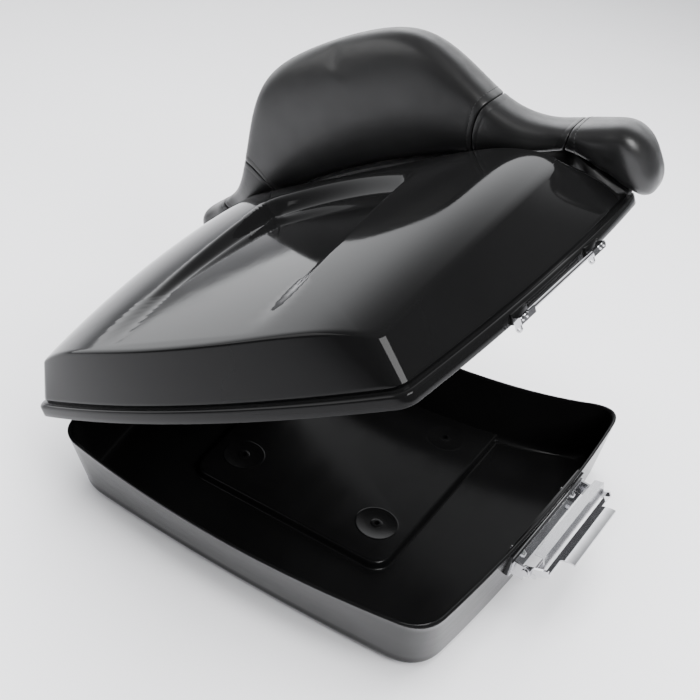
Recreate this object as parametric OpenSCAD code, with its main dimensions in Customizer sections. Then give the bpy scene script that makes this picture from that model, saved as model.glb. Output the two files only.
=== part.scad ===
// Low motorcycle tour trunk: open tub, side-hinged lid, side draw latch and
// a wrap-around passenger back pad on the front of the lid.
// Millimetres. +X is the latch side, +Y is forward (pad side), +Z is up.
// The origin is the centre of the rack bolt pattern on the tub's underside.
// The lid is drawn open by lid_angle about the hinge line on the -X side.

/* [Body] */
// Half width of the tub rim at its rear corners
half_w_rear = 242.5; // [225:0.1:260]
// Half width of the tub rim at its front corners
half_w_front = 304.6; // [290:0.1:315]
// Y of the rear corners, behind the bolt pattern centre
y_rear = -284.1; // [-300:0.1:-270]
// Y of the front corners
y_front = 222.6; // [210:0.1:235]
// Height of the tub rim above the underside
rim_z = 101.4; // [96:0.1:110]
// Shell wall thickness
wall = 4; // [3:0.1:5]
// Radius of the rounded edge round the tub bottom
foot_r = 16; // [10:1:22]

/* [Lid] */
// How far the lid stands open, in degrees
lid_angle = 28.9; // [0:0.1:60]
// How far the lid skirt stands outside the tub rim
skirt_out = 8; // [7:0.1:9]
// How far the skirt reaches below the tub rim
skirt_drop = 14.6; // [13:0.1:16]
// Height of the lid's rear edge above the rim
lid_rear_h = 45; // [38:0.1:52]
// Height of the lid's front edge above the rim
lid_front_h = 73.1; // [66:0.1:80]
// Depth of the recess in the middle of the lid
dish_depth = 20; // [8:0.5:24]
// Half width of that recess
dish_w = 114; // [100:1:125]

/* [Mounting] */
// Hole spacing across the bike
rack_x = 202.2; // [190:0.1:215]
// Hole spacing along the bike
rack_y = 204.9; // [195:0.1:220]
// Radius of each rack bolt hole
rack_r = 3.4; // [3:0.1:4.2]
// Height of the raised floor above the lower floor
floor_step = 10.7; // [6:0.1:12]

/* [Latch] */
// How far the handle stands open, in degrees from closed
handle_angle = 115; // [0:1:130]
// Radius of the latch pivots
latch_pin_r = 2.4; // [2:0.1:2.8]
// Radius of the keeper bar on the lid
keeper_r = 2.5; // [2:0.1:3]

/* [Hinge] */
// Radius of the hinge pins
hinge_pin_r = 2.5; // [2:0.1:3]
// Radial running clearance in every pivot
run = 0.05; // [0.02:0.01:0.09]

/* [Back pad] */
// Height of the top of the pad above the underside, lid closed
pad_top = 373; // [340:1:390]
// Thickness of the middle cushion
pad_thick = 74; // [60:1:90]

/* [Hidden] */
$fn = 48;

// ---------------------------------------------------------------- outlines
// An outline is [rear middle y, rear half width, rear corner y, side bulge,
// front half width, front corner y, front middle y, front curve 4th order].
RIM = [y_rear - 22.6, half_w_rear, y_rear, 13.4, half_w_front, y_front,
       y_front - 75, 21.9];
TOP = [y_rear - 14.7, half_w_rear - 12.5, y_rear + 7.9, 11.6, half_w_front - 38.9,
       y_front - 95.6, y_front - 110.6, 0];

function grow(v, rear, side, front) =
    [v[0] - rear, v[1] + side, v[2] - rear, v[3], v[4] + side, v[5] + front,
     v[6] + front, v[7]];
function mixv(a, b, t) = a * (1 - t) + b * t;
function rear_pt(v, x) = [x, v[0] + (v[2] - v[0]) * pow(x / v[1], 2)];
function side_dir(v) = [v[4] - v[1], v[5] - v[2]] / side_len(v);
function side_len(v) = norm([v[4] - v[1], v[5] - v[2]]);
function side_pt(v, t) =
    [v[1], v[2]] + t * [v[4] - v[1], v[5] - v[2]]
    + 4 * t * (1 - t) * v[3] * [side_dir(v)[1], -side_dir(v)[0]];
function front_pt(v, x) =
    [x, v[6] + (v[5] - v[6] - v[7]) * pow(x / v[4], 2) + v[7] * pow(x / v[4], 4)];
function bend(a, k, b, t) = (1 - t) * (1 - t) * a + 2 * t * (1 - t) * k + t * t * b;

// Half outline from rear middle to front middle, corner roundings cr and cf.
function half(v, cr, cf) = concat(
    [for (i = [0:7]) rear_pt(v, (v[1] - cr) * i / 8)],
    [for (i = [0:4]) bend(rear_pt(v, v[1] - cr), [v[1], v[2]],
        side_pt(v, cr / side_len(v)), i / 5)],
    [for (i = [0:7]) side_pt(v, mixv(cr / side_len(v), 1 - cf / side_len(v), i / 8))],
    [for (i = [0:4]) bend(side_pt(v, 1 - cf / side_len(v)), [v[4], v[5]],
        front_pt(v, v[4] - cf), i / 5)],
    [for (i = [0:8]) front_pt(v, (v[4] - cf) * (1 - i / 8))]);

// Full outline: the half outline and its mirror image.
function full(v, cr, cf) = let (h = half(v, cr, cf), n = len(h))
    concat(h, [for (i = [1:n - 2]) [-h[n - 1 - i][0], h[n - 1 - i][1]]]);
function level(v, z, cr = 14, cf = 30) = [for (p = full(v, cr, cf)) [p[0], p[1], z]];

// ---------------------------------------------------------------- skins
// Closed solid from a list of equal rings with a point at each end.
module skin(rings, first, last) {
    n = len(rings[0]);
    m = len(rings);
    pts = concat([for (r = rings) for (p = r) p], [first, last]);
    sides = [for (k = [0:m - 2]) for (i = [0:n - 1]) let (j = (i + 1) % n)
        each [[k * n + i, (k + 1) * n + i, k * n + j],
              [k * n + j, (k + 1) * n + i, (k + 1) * n + j]]];
    start = [for (i = [0:n - 1]) [m * n, i, (i + 1) % n]];
    end = [for (i = [0:n - 1]) [m * n + 1, (m - 1) * n + (i + 1) % n, (m - 1) * n + i]];
    polyhedron(concat(pts), concat(start, sides, end), convexity = 8);
}

// ---------------------------------------------------------------- lid surface
function along(y) = min(max((y - y_rear - 7.9) / 403.2, -0.15), 1.2);
function edge_x(y) = let (s = min(max(along(y), -0.1), 1.15))
    half_w_rear - 12.5 + 35.7 * s + 46.4 * s * (1 - s);
function smooth(t) = let (c = min(max(t, 0), 1)) c * c * (3 - 2 * c);
function riser_y(x) = 62 - 22 * pow(x / 100, 2);
function dish(x, y) = dish_depth * min(max((y + 285) / 330, 0), 1)
    * smooth((dish_w - abs(x)) / 18) * smooth((riser_y(x) + 34 - y) / 34);
function lid_z(x, y) = let (s = along(y))
    rim_z + lid_rear_h + (lid_front_h - lid_rear_h) * s + 34 * s * (1 - s)
    + (20 + 17 * s) * (1 - pow(min(abs(x) / edge_x(y), 1), 6)) - dish(x, y);
function crown(v, k, drop, cr, cf) = [for (p = full(v, cr, cf))
    let (q = [p[0] * k, -100 + (p[1] + 100) * k]) [q[0], q[1], lid_z(q[0], q[1]) - drop]];
function slope(t, out, up) = let (a = level(grow(RIM, out, out, out), rim_z + up),
    b = crown(grow(TOP, out - 1.5, out - 1.5, out - 1.5), 1, 2.5 - out, 14, 18))
    [for (i = [0:len(a) - 1]) a[i] * (1 - t) + b[i] * t];

// ---------------------------------------------------------------- placing
hinge_x = -320.1;
hinge_z = rim_z - 21;
module on_lid() {
    translate([hinge_x, 0, hinge_z])
        rotate([0, -lid_angle, 0])
            translate([-hinge_x, 0, -hinge_z])
                children();
}
// Latch frame: X out from the tub side, Y along it, Z up.
side_turn = -7;
module on_side() {
    translate([287.2, -34, 0])
        rotate([0, 0, side_turn])
            children();
}
// Rod, plate and screw helpers.
module rod_y(r, y0, y1) {
    translate([0, y0, 0])
        rotate([-90, 0, 0])
            cylinder(r = r, h = y1 - y0);
}
module rod_x(r, x0, x1) {
    translate([x0, 0, 0])
        rotate([0, 90, 0])
            cylinder(r = r, h = x1 - x0);
}
module box(x0, x1, y0, y1, z0, z1) {
    translate([x0, y0, z0])
        cube([x1 - x0, y1 - y0, z1 - z0]);
}
// Pan head screw along X: the head's underside at x0, the tip at x1.
module screw_x(x0, x1, r, head) {
    dir = x1 > x0 ? 1 : -1;
    translate([x0, 0, 0])
        rotate([0, 90 * dir, 0])
            cylinder(r = r, h = abs(x1 - x0));
    translate([x0, 0, 0])
        rotate([0, -90 * dir, 0])
            cylinder(r1 = head, r2 = head * 0.72, h = head * 0.62);
}
module hex_nut_x(x0, h, r_hole, af) {
    translate([x0, 0, 0])
        rotate([0, 90, 0])
            difference() {
                cylinder(r = af / sqrt(3), h = h, $fn = 6);
                translate([0, 0, -1])
                    cylinder(r = r_hole, h = h + 2);
            }
}

// ---------------------------------------------------------------- tub
rear_in = 35.4;
corner_in = 22.3;
side_in = 2;
front_side_in = 5.9;
front_in = 3;
floor_z = wall;
raised_z = wall + floor_step;
// Outline inside the rim: t runs from the rim to the foot, extra goes further in.
function draft(t, extra) = [RIM[0] + rear_in * t + extra, RIM[1] - side_in * t - extra,
    RIM[2] + corner_in * t + extra, RIM[3], RIM[4] - front_side_in * t - extra,
    RIM[5] - front_in * t - extra, RIM[6] - front_in * t - extra, RIM[7]];
function tub_wall(z, extra) = let (t = (rim_z - z) / (rim_z - foot_r))
    level(draft(t, extra), z, 30 + 8 * t, 48);
function tub_foot(a, extra, low) = level(draft(1, extra + (foot_r - extra) * (1 - cos(a))),
    foot_r - (foot_r - low) * sin(a), 38, 48);
module tub_outer() {
    skin(concat([for (a = [90:-15:15]) tub_foot(a, 0, 0)],
        [for (k = [3:-1:0]) tub_wall(foot_r + (rim_z - foot_r) * (1 - k / 3), 0)]),
        [0, -80, 0], [0, -80, rim_z]);
}
module tub_cavity() {
    skin(concat([for (a = [90:-15:15]) tub_foot(a, wall, wall)],
        [for (k = [3:-1:0]) tub_wall(foot_r + (rim_z - foot_r) * (1 - k / 3), wall)],
        [level(draft(-0.06, wall), rim_z + 5, 30, 48)]),
        [0, -80, wall], [0, -80, rim_z + 5]);
}
module raised_floor() {
    r = 22;
    intersection() {
        tub_cavity_grown();
        translate([0, 0, wall - 1])
            linear_extrude(floor_step + 1)
                union() {
                    polygon([[-141.5, -163 + r], [141.5, -163 + r], [162, 166], [-162, 166]]);
                    translate([-141.5 + r, -163])
                        square([283 - 2 * r, 60]);
                    for (s = [-1, 1])
                        translate([s * (141.5 - r), -163 + r])
                            circle(r);
                }
    }
}
module tub_cavity_grown() {
    skin([level(draft(1, wall - 1), 1, 38, 48), level(draft(0.8, wall - 1), 40, 36, 48)],
        [0, -80, 1], [0, -80, 40]);
}
latch_u = 66;
latch_w = rim_z - 23.4;
module each_rack_hole() {
    for (sx = [-1, 1])
        for (sy = [-1, 1])
            translate([sx * rack_x / 2, sy * rack_y / 2, 0])
                children();
}
hinge_y = [0, 160];
hinge_screw_z = rim_z - 47.4;
// Distance of the tub's inner wall from the middle at the hinge screws.
function inner_x(y) = let (t = (y - y_rear) / (y_front - y_rear))
    half_w_rear + (half_w_front - half_w_rear) * t + 53.6 * t * (1 - t) - 2.2 - wall;
module each_hinge_screw() {
    for (y = hinge_y)
        for (s = [-1, 1])
            translate([0, y + s * 16, hinge_screw_z])
                children();
}
module floor_ring() {
    translate([0, 0, raised_z - 0.5])
        rotate_extrude()
            polygon([[1, 0], [28, 0], [28, 0.5], [27, 1.5], [24.5, 1.5], [24, 0.9],
                     [rack_r + 5, 0.9], [rack_r + 4, 1.8], [1, 1.8]]);
}
module tub() {
    color([0.05, 0.05, 0.055])
        difference() {
            union() {
                difference() {
                    union() {
                        tub_outer();
                        on_side()
                            box(-9, 0, -96, 96, rim_z - 37, rim_z - 7);
                        for (y = hinge_y)
                            translate([hinge_x, y, 0])
                                box(6.4, 40, -28, 28, rim_z - 60, rim_z - 25);
                    }
                    tub_cavity();
                }
                raised_floor();
                each_rack_hole()
                    floor_ring();
                on_side()
                    for (s = [-1, 1])
                        translate([0, s * latch_u, latch_w])
                            rod_x(7, -7.5, -3);
                for (y = hinge_y)
                    for (s = [-1, 1])
                        translate([0, y + s * 16, hinge_screw_z])
                            rod_x(7, -inner_x(y + s * 16) - 3, -inner_x(y + s * 16) + 1.5);
            }
            each_rack_hole()
                translate([0, 0, -5])
                    cylinder(r = rack_r, h = 40);
            on_side()
                for (s = [-1, 1])
                    translate([0, s * latch_u, latch_w])
                        rod_x(2.1, -40, 10);
            each_hinge_screw()
                rod_x(2.1, hinge_x - 5, hinge_x + 70);
        }
}

// ---------------------------------------------------------------- lid
TOP_STEPS = [0.995, 0.97, 0.93, for (k = [0:16]) 0.88 - 0.05 * k];
module lid_outer() {
    so = skirt_out;
    skin(concat(
        [level(grow(RIM, so, so, so), rim_z - skirt_drop)],
        [level(grow(RIM, so, so, so), rim_z - 3)],
        [level(grow(RIM, so - 1, so - 1, so - 1), rim_z - 0.5)],
        [level(grow(RIM, 2, 2, 2), rim_z + 1.5)],
        [level(grow(RIM, 2, 2, 2), rim_z + 3)],
        [for (t = [0, 0.33, 0.66, 0.92]) slope(t, 1.5 + 0.5 * (1 - t), 4.5)],
        [for (k = TOP_STEPS) crown(TOP, k, 0, 14, 18)]),
        [0, -100, rim_z - skirt_drop], [0, -100, lid_z(0, -100)]);
}
module lid_cavity() {
    so = skirt_out - wall;
    front = so + 1.2;
    skin(concat(
        [level(grow(RIM, so, so, front), rim_z - skirt_drop - 5)],
        [level(grow(RIM, so, so, front), rim_z + 0.4)],
        [level(grow(RIM, -2.5, -2.5, -2.5), rim_z + 2.4)],
        [for (t = [0, 0.5, 0.9]) slope(t, -2.5, 5)],
        [for (k = [1:len(TOP_STEPS) - 1]) crown(TOP, TOP_STEPS[k], wall, 14, 18)]),
        [0, -100, rim_z - skirt_drop - 5], [0, -100, lid_z(0, -100) - wall]);
}
keeper_w = rim_z - 9;
keeper_v = 14.5;
rivet_u = [86, 94];
bracket_x = [-150, -60, 60, 150];
bracket_z = rim_z + 73;
module each_keeper_rivet() {
    for (s = [-1, 1])
        for (u = rivet_u)
            translate([0, s * u, keeper_w])
                children();
}
module each_hinge_rivet() {
    for (y = hinge_y)
        for (s = [-1, 1])
            translate([hinge_x, y + s * 16, rim_z - 11])
                children();
}
module each_bracket() {
    for (x = bracket_x)
        translate([x, bracket_back(x), bracket_z])
            children();
}
// Y of the flat the bracket sits on, in front of the lid's front wall.
function bracket_back(x) = 131.4 + 9.8 * pow(x / 150, 2);
module lid() {
    color([0.03, 0.03, 0.035])
        on_lid()
            difference() {
                union() {
                    lid_outer();
                    on_side()
                        for (s = [-1, 1])
                            box(2, 8.6, s * 84 - 15, s * 84 + 15, rim_z - 14.5, rim_z - 3);
                    for (y = hinge_y)
                        translate([hinge_x, y, 0])
                            box(6.4, 40, -28, 28, rim_z - 14.5, rim_z - 3);
                    each_bracket()
                        box(-14, 14, -30, 0, -11, 8);
                }
                lid_cavity();
                on_side()
                    each_keeper_rivet()
                        rod_x(1.6, -10, 20);
                each_hinge_rivet()
                    rod_x(1.6, 0, 60);
                each_bracket()
                    rod_y(2.6, -60, 5);
            }
}
module lid_seal() {
    color([0.02, 0.02, 0.02])
        on_lid()
            seal_ring();
}
module seal_ring() {
    a = grow(RIM, 0.6, 0.6, 0.6);
    b = grow(RIM, -3.8, -3.8, -3.8);
    c = grow(RIM, -2.5, -2.5, -2.5);
    rings = [level(a, rim_z + 0.35), level(a, rim_z + 1.35), level(c, rim_z + 2.3),
             level(b, rim_z + 2.3), level(b, rim_z + 0.35)];
    n = len(rings[0]);
    pts = [for (r = rings) for (p = r) p];
    m = len(rings);
    polyhedron(pts, [for (k = [0:m - 1]) for (i = [0:n - 1])
        let (j = (i + 1) % n, k2 = (k + 1) % m)
        each [[k * n + i, k2 * n + i, k * n + j], [k * n + j, k2 * n + i, k2 * n + j]]],
        convexity = 6);
}

// ---------------------------------------------------------------- hinges
module each_hinge() {
    for (y = hinge_y)
        translate([hinge_x, y, hinge_z])
            children();
}
module hinge_leaf_tub() {
    color([0.75, 0.76, 0.78])
        difference() {
            each_hinge()
                difference() {
                    union() {
                        box(4.2, 6.35, -25, 25, -36, -7);
                        for (s = [-1, 1])
                            box(4.2, 6.35, s * 17 - 8.1, s * 17 + 8.1, -8, -0.5);
                        for (s = [-1, 1])
                            rod_y(5.6, s * 17 - 8.1, s * 17 + 8.1);
                    }
                    rod_y(hinge_pin_r, -30, 30);
                }
            each_hinge_screw()
                rod_x(2.1, hinge_x - 5, hinge_x + 12);
        }
}
module hinge_leaf_lid() {
    color([0.75, 0.76, 0.78])
        on_lid()
            difference() {
                each_hinge()
                    difference() {
                        union() {
                            box(4.2, 6.35, -25, 25, 7, 17);
                            box(4.2, 6.35, -8.6, 8.6, 0.5, 8);
                            rod_y(5.6, -8.6, 8.6);
                        }
                        rod_y(hinge_pin_r + run, -30, 30);
                    }
                each_hinge_rivet()
                    rod_x(1.6, -5, 12);
            }
}
module hinge_pins() {
    color([0.8, 0.8, 0.82])
        each_hinge() {
            rod_y(hinge_pin_r, -26.4, 25.2);
            rod_y(4.2, 25.2, 26.8);
        }
}
module hinge_screws() {
    color([0.8, 0.8, 0.82])
        for (y = hinge_y)
            for (s = [-1, 1])
                translate([0, y + s * 16, hinge_screw_z])
                    screw_x(hinge_x + 4.15, -inner_x(y + s * 16) + 8, 2, 4);
}
// The foremost nut stands off where the corner starts to curve in.
module hinge_nuts() {
    color([0.7, 0.7, 0.72])
        for (y = hinge_y)
            for (s = [-1, 1])
                translate([0, y + s * 16, hinge_screw_z])
                    hex_nut_x(-inner_x(y + s * 16) + (s * y > 0 ? 2.3 : 1.55), 3.2, 2, 7);
}
module hinge_rivets() {
    color([0.8, 0.8, 0.82])
        on_lid()
            each_hinge_rivet()
                screw_x(4.15, 10.9, 1.55, 3.4);
}

// ---------------------------------------------------------------- latch
// Latch points in the latch frame, [out, up], with the handle shut.
pin_v = 16.5;
pin_w = rim_z - 21.4;
link_dv = -5;
link_dw = -8;
// The link pivot for any handle angle.
function link_at(a) = [pin_v + link_dv * cos(a) - link_dw * sin(a),
    pin_w + link_dv * sin(a) + link_dw * cos(a)];
module as_profile(u0, u1) {
    translate([0, u1, 0])
        rotate([90, 0, 0])
            linear_extrude(u1 - u0)
                children();
}
module strip(a, b, t) {
    d = (b - a) / norm(b - a);
    n = [-d[1], d[0]] * t / 2;
    polygon([a - n, b - n, b + n, a + n]);
}
module latch_base() {
    color([0.8, 0.81, 0.83])
        on_side()
            difference() {
                union() {
                    box(0.05, 2, -95, 95, pin_w - 15.4, pin_w + 6.2);
                    box(1, 7, -88.2, 88.2, pin_w - 15.4, pin_w - 13);
                    for (s = [-1, 1])
                        as_profile(s * 89.8 - 1.5, s * 89.8 + 1.5)
                            union() {
                                translate([1, pin_w - 13])
                                    square([15.5, 19]);
                                translate([pin_v, pin_w - 4])
                                    square([6.4, 4]);
                                translate([pin_v, pin_w])
                                    circle(r = 6.4);
                            }
                }
                for (s = [-1, 1])
                    translate([0, s * latch_u, latch_w])
                        rod_x(2.1, -1, 10);
                translate([pin_v, 0, pin_w])
                    rod_y(latch_pin_r, -100, 100);
            }
}
module latch_screws() {
    color([0.8, 0.8, 0.82])
        on_side()
            for (s = [-1, 1])
                translate([0, s * latch_u, latch_w])
                    screw_x(2.05, -14, 2, 4.2);
}
module latch_nuts() {
    color([0.7, 0.7, 0.72])
        on_side()
            for (s = [-1, 1])
                translate([-10.8, s * latch_u, latch_w])
                    hex_nut_x(0, 3.2, 2, 7);
}
module latch_stub_pins() {
    color([0.82, 0.82, 0.84])
        on_side()
            translate([pin_v, 0, pin_w])
                for (s = [-1, 1]) {
                    rod_y(latch_pin_r, s * 88 - 4, s * 88 + 4);
                    rod_y(4, s * 92.2 - 0.8, s * 92.2 + 0.8);
                }
}
module handle_arm() {
    union() {
        translate([pin_v, pin_w])
            circle(r = 5.2);
        translate([pin_v + link_dv, pin_w + link_dw])
            circle(r = 4.4);
        strip([pin_v, pin_w], [pin_v + link_dv, pin_w + link_dw], 8.6);
        strip([pin_v + 0.5, pin_w], [pin_v + 0.5, pin_w - 27], 7.6);
        strip([pin_v + link_dv, pin_w + link_dw], [pin_v - 0.6, pin_w - 26], 5);
    }
}
module finger_plate() {
    intersection() {
        difference() {
            translate([pin_v - 30, pin_w - 31])
                circle(r = 31);
            translate([pin_v - 30, pin_w - 31])
                circle(r = 29.2);
        }
        translate([pin_v - 12, pin_w - 45])
            square([20, 19]);
    }
}
module latch_handle() {
    color([0.85, 0.86, 0.88])
        on_side()
            translate([pin_v, 0, pin_w])
                rotate([0, -handle_angle, 0])
                    translate([-pin_v, 0, -pin_w])
                        difference() {
                            union() {
                                for (s = [-1, 1])
                                    as_profile(s * 86.2 - 1.6, s * 86.2 + 1.6)
                                        handle_arm();
                                box(pin_v - 1, pin_v + 1, -85, 85, pin_w - 28, pin_w - 22);
                                as_profile(-58, 58)
                                    finger_plate();
                            }
                            translate([pin_v, 0, pin_w])
                                rod_y(latch_pin_r + run, -100, 100);
                            translate([pin_v + link_dv, 0, pin_w + link_dw])
                                rod_y(latch_pin_r, -100, 100);
                        }
}
// How far the draw plate leans in when the handle stands 115 degrees open.
plate_lean = 15;
module at_link() {
    translate([link_at(handle_angle)[0], 0, link_at(handle_angle)[1]])
        children();
}
module latch_link_rod() {
    color([0.82, 0.82, 0.84])
        on_side()
            at_link()
                rod_y(latch_pin_r, -88, 88);
}
module latch_draw_plate() {
    color([0.78, 0.79, 0.8])
        on_side()
            at_link()
                rotate([0, -plate_lean * handle_angle / 115, 0])
                    difference() {
                        as_profile(-82, 82)
                            union() {
                                circle(r = 4);
                                strip([1, 3], [9.5, 10.5], 2);
                                translate([8.5, 9.6])
                                    square([2, 16.6]);
                                translate([-1.5, 24.2])
                                    square([12, 2]);
                            }
                        rod_y(latch_pin_r + run, -100, 100);
                    }
}

// ---------------------------------------------------------------- keeper
module keeper_blocks() {
    color([0.8, 0.81, 0.83])
        on_lid()
            on_side()
                difference() {
                    union() {
                        for (s = [-1, 1])
                            box(8.65, 17.2, s * 84 - 15, s * 84 + 15, keeper_w - 5,
                                keeper_w + 2.3);
                        for (u = [-97.6, 70.4])
                            as_profile(u - 1.3, u + 1.3)
                                keeper_eye();
                    }
                    translate([keeper_v, 0, keeper_w])
                        rod_y(keeper_r, -80, 80);
                    each_keeper_rivet()
                        rod_x(1.6, 0, 30);
                }
}
module keeper_eye() {
    difference() {
        union() {
            translate([12, keeper_w - 10])
                circle(r = 3.5);
            translate([8.7, keeper_w - 10])
                square([6.6, 8]);
        }
        translate([12, keeper_w - 10])
            circle(r = 1.8);
    }
}
module keeper_bar() {
    color([0.82, 0.83, 0.85])
        on_lid()
            on_side()
                translate([keeper_v, 0, keeper_w])
                    rod_y(keeper_r, -80, 80);
}
module keeper_rivets() {
    color([0.82, 0.82, 0.84])
        on_lid()
            on_side()
                each_keeper_rivet()
                    screw_x(17.25, 3.6, 1.55, 3.2);
}

// ---------------------------------------------------------------- back pad
// Everything along the pad is a function of the distance a from the middle.
function pad_bottom(a) = rim_z + 109.1 - 20.5 * pow(min(a, 250) / 192, 2)
    - 85 * smooth((a - 250) / 90);
function shoulder(a) = rim_z + 106.6 - 0.17 * (a - 230);
function pad_crest(a) = let (k = 1 / (1 + exp((a - 173.5) / 25)))
    shoulder(a) + (pad_top - 6 * pow(a / 100, 2) - shoulder(a)) * k;
function pad_y(a) = 160 + 45 * smooth((a - 180) / 140);
function pad_half(a) = pad_thick / 2 - 4 * smooth((a - 120) / 90)
    + 12 * smooth((a - 240) / 50);
function pad_skew(a) = 0.3 * smooth((a - 215) / 60);
function pad_end(a) = sqrt(max(1 - pow(max(a - 310, 0) / 40.5, 3), 0.02));
function pad_lean(a) = 40 * smooth((a - 60) / 132) * (1 - smooth((a - 245) / 50));
function pow_s(v, e) = sign(v) * pow(abs(v), e);
// The end of each cushion leans outward at the top, and x runs along the lean.
function pad_ring(x, n = 24) = let (a = abs(x), lean = pad_lean(a))
    [for (i = [0:n - 1]) let (w = 360 * i / n, u = pow_s(sin(w), 0.62))
        pad_point(sign(x), a - lean * (1 - u) / 2, u, pow_s(cos(w), 0.62))];
function pad_height(a) = pad_crest(a) - pad_bottom(a);
function pad_point(side, a, u, v) = let (k = pad_end(a), h = pad_height(a),
    dz = (h - 0.8) / 2 * k * u)
    [side * a, pad_y(a) + pad_half(a) * k * v - pad_skew(a) * dz,
        pad_bottom(a) + h / 2 + dz];
module pad_piece(x0, x1, steps) {
    rings = [for (i = [0:steps]) pad_ring(x0 + (x1 - x0) * i / steps)];
    skin(rings, mean(rings[0]), mean(rings[steps]));
}
function mean(r) = [for (k = [0:2]) sum([for (p = r) p[k]]) / len(r)];
function sum(v, i = 0) = i < len(v) ? v[i] + sum(v, i + 1) : 0;
module vinyl() {
    color([0.04, 0.04, 0.04])
        on_lid()
            children();
}
module pad_centre() {
    vinyl()
        pad_piece(-192, 192, 24);
}
module pad_neck_left() {
    vinyl()
        pad_piece(-272, -192.5, 6);
}
module pad_neck_right() {
    vinyl()
        pad_piece(192.5, 272, 6);
}
module pad_arm_left() {
    vinyl()
        pad_piece(-350, -272.5, 9);
}
module pad_arm_right() {
    vinyl()
        pad_piece(272.5, 350, 9);
}
// The board under the cushions, a strip of constant thickness.
board_t = 12;
function board_mid(a) = pad_y(a) + pad_skew(a) * 24;
function board_rear(a) = board_mid(a) - pad_half(a) + 5 + 16 * smooth((a - 90) / 80);
function board_ring(x) = let (a = abs(x), y0 = board_rear(a), z = pad_bottom(a) - 0.6,
    y1 = board_mid(a) + pad_half(a) - 5)
    [[x, y0, z], [x, y0, z - board_t], [x, y1, z - board_t], [x, y1, z]];
module pad_board() {
    color([0.1, 0.1, 0.1])
        on_lid()
            difference() {
                board_body();
                each_board_screw()
                    cylinder(r = 1.7, h = 14);
            }
}
module board_body() {
    rings = [for (x = [-256:16:256]) board_ring(x)];
    skin(rings, mean(rings[0]), mean(rings[len(rings) - 1]));
}
module pad_staples() {
    color([0.75, 0.75, 0.78])
        on_lid()
            for (x = [-216, -192, -120, -96, -24, 0, 24, 96, 120, 192, 216])
                let (a = abs(x), y = board_rear(a) + 7)
                    translate([x, y, pad_bottom(a + 6) - board_t - 1.1])
                        box(-5, 5, -0.6, 0.6, -0.4, 0.4);
}
// L brackets between the lid's front wall and the board.
module bracket_shape(x) {
    up = pad_bottom(abs(x) + 13) - board_t - bracket_z - 0.8;
    box(-12, 12, 0.05, 3, -10, up);
    box(-12, 12, 0.05, 40, up - 3, up);
}
module pad_brackets() {
    color([0.12, 0.12, 0.13])
        on_lid()
            for (x = bracket_x)
                translate([x, bracket_back(x), bracket_z])
                    difference() {
                        bracket_shape(x);
                        rod_y(2.6, -2, 8);
                        translate([0, 24, 0])
                            cylinder(r = 2.1, h = 60);
                    }
}
module bracket_bolts() {
    color([0.8, 0.8, 0.82])
        on_lid()
            each_bracket()
                rotate([0, 0, 90])
                    screw_x(3.05, -23, 2.5, 4.6);
}
module bracket_nuts() {
    color([0.7, 0.7, 0.72])
        on_lid()
            each_bracket()
                translate([0, -21, 0])
                    rotate([0, 0, 90])
                        hex_nut_x(0, 4, 2.5, 8);
}
module each_board_screw() {
    for (x = bracket_x)
        translate([x, bracket_back(x) + 24, pad_bottom(abs(x) + 13) - board_t - 0.8])
            children();
}
module board_screws() {
    color([0.8, 0.8, 0.82])
        on_lid()
            each_board_screw()
                translate([0, 0, -3.05])
                    rotate([0, -90, 0])
                        screw_x(0, 13, 1.7, 3.6);
}

tub();
lid();
lid_seal();
hinge_leaf_tub();
hinge_leaf_lid();
hinge_pins();
hinge_screws();
hinge_nuts();
hinge_rivets();
latch_base();
latch_screws();
latch_nuts();
latch_stub_pins();
latch_handle();
latch_link_rod();
latch_draw_plate();
keeper_blocks();
keeper_bar();
keeper_rivets();
pad_board();
pad_centre();
pad_neck_left();
pad_neck_right();
pad_arm_left();
pad_arm_right();
pad_staples();
pad_brackets();
bracket_bolts();
bracket_nuts();
board_screws();
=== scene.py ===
"""Low motorcycle tour trunk with a side-hinged lid and a wrap-around back pad.

Lengths in the shape functions are millimetres in the row frame; every mesh is
scaled to metres when it is made.
"""
import math

import bmesh
import bpy
import numpy as np
from mathutils import Matrix, Vector
from mathutils.bvhtree import BVHTree


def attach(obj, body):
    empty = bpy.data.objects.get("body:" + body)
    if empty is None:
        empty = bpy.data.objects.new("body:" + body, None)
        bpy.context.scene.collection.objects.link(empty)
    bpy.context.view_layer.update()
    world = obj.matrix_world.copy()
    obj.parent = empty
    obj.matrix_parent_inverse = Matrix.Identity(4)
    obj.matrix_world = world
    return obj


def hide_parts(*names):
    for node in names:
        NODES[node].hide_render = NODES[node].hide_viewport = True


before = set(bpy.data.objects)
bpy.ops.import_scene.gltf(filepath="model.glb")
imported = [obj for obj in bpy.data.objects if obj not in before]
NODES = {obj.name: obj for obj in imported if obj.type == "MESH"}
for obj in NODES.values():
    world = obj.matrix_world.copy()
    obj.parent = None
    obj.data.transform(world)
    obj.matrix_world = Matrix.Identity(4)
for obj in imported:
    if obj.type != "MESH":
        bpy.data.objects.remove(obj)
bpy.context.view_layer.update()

MM = 0.001

# ------------------------------------------------------------ measurements
RIM_Z = 101.4
LID_ANGLE = math.radians(28.9)
HINGE = (-320.1, 80.4)
WALL = 4.0
FOOT_R = 16.0
FLOOR_Z = 4.0
RAISED_Z = 14.7
RACK_HALF = (101.1, 102.45)
RACK_R = 3.4
HINGE_Y = (0.0, 160.0)
HINGE_SCREW_Z = 54.0
LATCH_U = 66.0
LATCH_W = 78.0
BRACKET_X = (-150.0, -60.0, 60.0, 150.0)
BRACKET_Z = 174.4
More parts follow.
